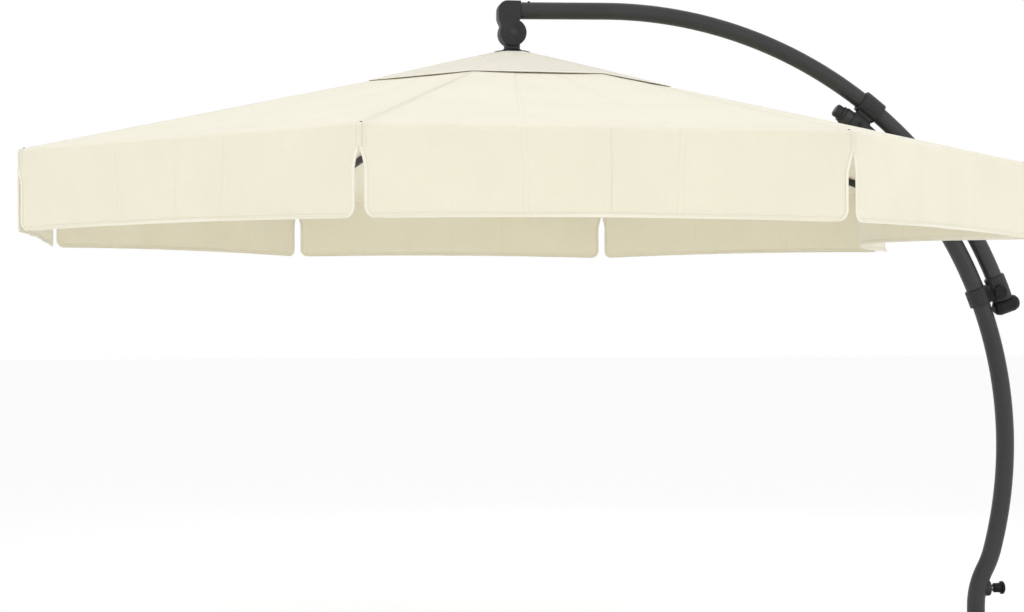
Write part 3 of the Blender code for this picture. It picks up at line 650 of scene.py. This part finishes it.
def disc(radius, start, end, bevel):
    """A disc about the knuckle's axis, from y = start to y = end."""
    profile = [(0.0, start), (radius - bevel, start), (radius - bevel * 0.3, start + bevel * 0.3),
               (radius, start + bevel), (radius, end - bevel), (radius - bevel * 0.3, end - bevel * 0.3),
               (radius - bevel, end), (0.0, end)]
    return turned(profile, KNUCKLE, "Y", 64)


def turned(profile, centre, axis="Z", sides=48):
    """A turned body: profile is (radius, position along the axis) pairs from end to end."""
    bm = bmesh.new()
    verts = [bm.verts.new((r, 0, h)) for r, h in profile]
    edges = [bm.edges.new(pair) for pair in zip(verts, verts[1:])]
    bmesh.ops.spin(bm, geom=verts + edges, cent=(0, 0, 0), axis=(0, 0, 1), dvec=(0, 0, 0), angle=2 * pi,
                   steps=sides, use_merge=True, use_duplicate=False)
    bmesh.ops.remove_doubles(bm, verts=bm.verts[:], dist=1e-6)
    turn = Matrix.Rotation(-pi / 2, 4, "X") if axis == "Y" else Matrix()
    bmesh.ops.transform(bm, matrix=Matrix.Translation(centre) @ turn, verts=bm.verts[:])
    return bm


def merge(target, source):
    mesh = bpy.data.meshes.new("part")
    source.to_mesh(mesh)
    source.free()
    target.from_mesh(mesh)
    bpy.data.meshes.remove(mesh)
    return target


def block(size, matrix, bevel):
    bm = bmesh.new()
    bmesh.ops.create_cube(bm, size=1.0)
    bmesh.ops.scale(bm, vec=size, verts=bm.verts[:])
    bmesh.ops.bevel(bm, geom=bm.edges[:], offset=bevel, offset_type="OFFSET", segments=2, profile=0.5,
                    affect="EDGES", material=-1, clamp_overlap=True)
    bmesh.ops.transform(bm, matrix=matrix, verts=bm.verts[:])
    return bm


def build_hub():
    top, left, corner = 2.7465, -0.0555, 0.036
    outline = [(0.0300, 2.6790), (0.0300, top)]
    outline += [(left + corner - corner * sin(a), top - corner + corner * cos(a))
                for a in (pi / 2 * step / 8 for step in range(9))]
    outline += [(left, 2.6800), (-0.0520, 2.6690), (-0.0475, 2.6600), (-0.0440, 2.6480), (-0.0400, 2.6400),
                (0.0240, 2.6400), (0.0245, 2.6700), (0.0268, 2.6760)]
    body = plate_of(outline, 0.0350, 0.0120, 4)
    for side in (1, -1):
        inner, outer = 0.0190 * side, 0.0365 * side
        merge(body, disc(0.0505, min(inner, outer), max(inner, outer), 0.0030))
        for step in range(11):
            turn = Matrix.Translation(KNUCKLE) @ Matrix.Rotation(radians(-70 + 14 * step), 4, "Y")
            bar = turn @ Matrix.Translation((0.033, side * 0.0368, 0))
            merge(body, block((0.022, 0.0022, 0.0034), bar, 0.0006))
        merge(body, turned([(0, 0), (0.0135, 0), (0.0135, 0.0018), (0.0120, 0.0026), (0, 0.0026)],
                           KNUCKLE + Vector((0, 0.0360 if side > 0 else -0.0386, 0)), "Y", 32))
    piece("elbow_casting", body, CASTING, "elbow", ("elbow_cap",))
    tongue = disc(0.0498, -0.0184, 0.0184, 0.0020)
    low = PLATE_Z + 0.0098
    neck = [(0, low), (0.0330, low), (0.0345, low + 0.0012), (0.0335, low + 0.0035), (0.0308, low + 0.0050),
            (0.0305, low + 0.0060), (0.0305, 2.5900), (0.0285, 2.5930), (0, 2.5930)]
    merge(tongue, turned(neck, Vector((AXIS_X, 0, 0))))
    piece("hub_casting", tongue, CASTING, "hub", ("hub_knuckle",))


def bent(centre, radius, start, end, step):
    """Points of an arc in the XZ plane and their directions, by angle from +X towards +Z."""
    count = max(2, round(abs(end - start) / step))
    way = 1 if end > start else -1
    path = []
    for n in range(count + 1):
        a = radians(start + (end - start) * n / count)
        path.append((centre + Vector((cos(a), 0, sin(a))) * radius, Vector((-sin(a), 0, cos(a))) * way))
    return path


def tube(path, outer, wall, depth_low, depth_high, sides=48):
    """A tube along a path in the XZ plane, hollow at both ends down to a plug."""
    bm = bmesh.new()

    def ring(place, radius, shift=0.0):
        p, along = place
        side = Vector((along.z, 0, -along.x))
        outward = [side * cos(a) + Vector((0, sin(a), 0)) for a in (2 * pi * n / sides for n in range(sides))]
        return [bm.verts.new(p + along * shift + o * radius) for o in outward]

    soft = 0.0008
    rings = [ring(path[0], outer - wall, depth_low), ring(path[0], outer - wall + soft * 0.3, soft * 0.3),
             ring(path[0], outer - soft), ring(path[0], outer, soft)]
    rings += [ring(place, outer) for place in path[1:-1]]
    rings += [ring(path[-1], outer, -soft), ring(path[-1], outer - soft),
              ring(path[-1], outer - wall + soft * 0.3, -soft * 0.3),
              ring(path[-1], outer - wall, -depth_high)]
    for a, b in zip(rings, rings[1:]):
        for n in range(sides):
            bm.faces.new((a[n], a[(n + 1) % sides], b[(n + 1) % sides], b[n]))
    bm.faces.new(rings[0])
    bm.faces.new(rings[-1])
    return bm


def build_tubes():
    top = radians(BOOM_HIGH)
    run = Vector((-sin(top), 0, cos(top)))
    path = bent(ARC, BOOM_ARC, BOOM_LOW, BOOM_HIGH, 1.2)
    path += [(path[-1][0] + run * BOOM_RUN * share, run) for share in (0.5, 1.0)]
    pipe = tube(path, BOOM_R, 0.0025, 0.045, 0.02)
    piece("boom_pipe", pipe, ANTHRACITE, "boom", ("boom_tube",))

    low = radians(MAST_LOW)
    bend = ARC + Vector((cos(low), 0, sin(low))) * (MAST_ARC - MAST_BEND)
    lean = acos((FOOT_BEND - bend.x) / (MAST_BEND + FOOT_BEND))
    foot = Vector((FOOT_BEND, 0, bend.z - (MAST_BEND + FOOT_BEND) * sin(lean)))
    up = Vector((0, 0, 1))
    path = [(Vector((0, 0, MAST_BOTTOM + (foot.z - MAST_BOTTOM) * share)), up)
            for share in (0, 0.3, 0.6, 0.9)]
    path += bent(foot, FOOT_BEND, 180, 180 - degrees(lean), 2.5)
    path += bent(bend, MAST_BEND, -degrees(lean), MAST_LOW, 2.5)[1:]
    path += bent(ARC, MAST_ARC, MAST_LOW, MAST_TOP, 1.2)[1:]
    pipe = tube(path, MAST_R, 0.003, 0.02, 0.03)
    piece("mast_pipe", pipe, ANTHRACITE, "mast", ("mast_tube",))


def build_rim_buttons():
    """A small screw that pins the cloth to each rib's end."""
    profile = [(0, -0.001), (0.0034, -0.001), (0.0036, 0.0002), (0.0026, 0.0012), (0, 0.0015)]
    for number in range(1, RIBS + 1):
        azimuth = FIRST_RIB + 2 * HALF * (number - 1)
        place = Vector((AXIS_X, 0, RIM_Z + 0.0060)) + compass(azimuth)[0] * (RIM_R - 0.020)
        head = turned(profile, Vector(), sides=24)
        lean = Matrix.Rotation(azimuth, 4, "Z") @ Matrix.Rotation(atan(COVER_SLOPE), 4, "Y")
        bmesh.ops.transform(head, matrix=Matrix.Translation(place) @ lean, verts=head.verts[:])
        piece(f"rim_screw_{number}", head, DARK_STEEL, f"rib_{number}")


build_hub()
build_tubes()
build_rim_buttons()


# ---- stage, light and camera ----
def build_stage():
    bm = bmesh.new()
    bmesh.ops.create_grid(bm, x_segments=1, y_segments=1, size=60.0)
    mesh = bpy.data.meshes.new("floor")
    bm.to_mesh(mesh)
    bm.free()
    paint = Paint("pale_floor", Base_Color=(0.96, 0.96, 0.96, 1), Roughness=0.9)
    mesh.materials.append(paint.material)
    floor = bpy.data.objects.new("floor", mesh)
    floor.location = (0, 0, -0.0005)
    bpy.context.scene.collection.objects.link(floor)
    world = bpy.data.worlds.new("studio")
    world.use_nodes = True
    world.node_tree.nodes["Background"].inputs[0].default_value = (1.0, 1.0, 1.0, 1)
    world.node_tree.nodes["Background"].inputs[1].default_value = 1.0
    bpy.context.scene.world = world


def area_light(name, place, aim, size, power):
    light = bpy.data.lights.new(name, "AREA")
    light.shape = "DISK"
    light.size = size
    light.energy = power
    obj = bpy.data.objects.new(name, light)
    obj.location = place
    obj.rotation_euler = (Vector(aim) - Vector(place)).to_track_quat("-Z", "Y").to_euler()
    bpy.context.scene.collection.objects.link(obj)


def build_camera():
    data = bpy.data.cameras.new("camera")
    data.sensor_width = 36.0
    data.lens = 65.57
    data.shift_y = 0.0088
    camera = bpy.data.objects.new("camera", data)
    camera.location = (-2.984, -6.906, 1.57)
    camera.rotation_euler = (radians(90), 0, radians(-9.4))
    bpy.context.scene.collection.objects.link(camera)
    bpy.context.scene.camera = camera


build_stage()
area_light("key", (-5.5, -6.5, 6.5), (-1.6, 0, 1.8), 3.0, 50)
area_light("fill", (3.5, -6.0, 3.2), (-1.2, 0, 1.5), 4.0, 30)
area_light("back", (0.5, 6.0, 5.0), (-1.4, 0, 1.8), 4.0, 40)
build_camera()
bpy.context.scene.view_settings.view_transform = "Standard"
